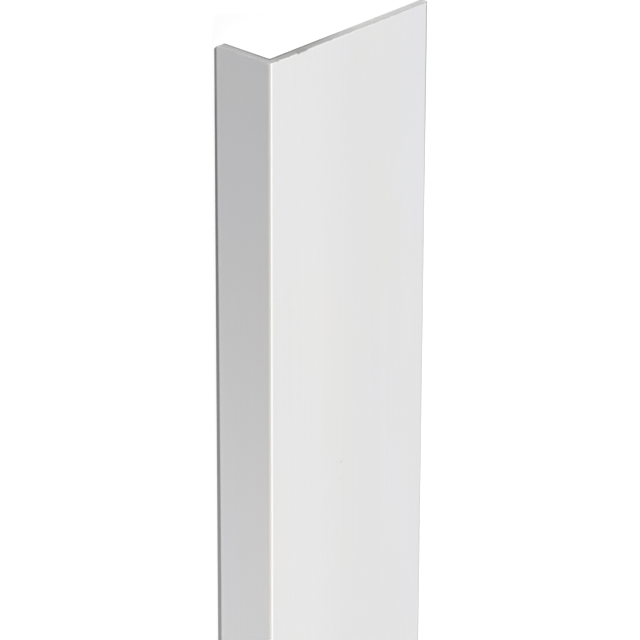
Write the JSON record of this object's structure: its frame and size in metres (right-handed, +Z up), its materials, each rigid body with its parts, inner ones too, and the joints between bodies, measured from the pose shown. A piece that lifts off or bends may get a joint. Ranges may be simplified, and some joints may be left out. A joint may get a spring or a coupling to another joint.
{
  "type": "pvc angle profile",
  "caption": "White PVC angle with a wide and a narrow leg: an extruded trim bar that covers and protects an outside corner.",
  "frame": {"origin": "on the floor, at the middle of the bar's length and of its footprint's width", "axes": "+X along the bar to the sawn end that the picture shows, +Z up, wide leg sloping down towards -Y, short leg towards +Y"},
  "size_m": [1, 0.0628, 0.0194],
  "materials": {
    "white_pvc": "smooth extruded white PVC with a soft satin gloss, sawn matt on its ends"
  },
  "bodies": {
    "root": {"angle_profile": "white_pvc"}
  },
  "joints": []
}
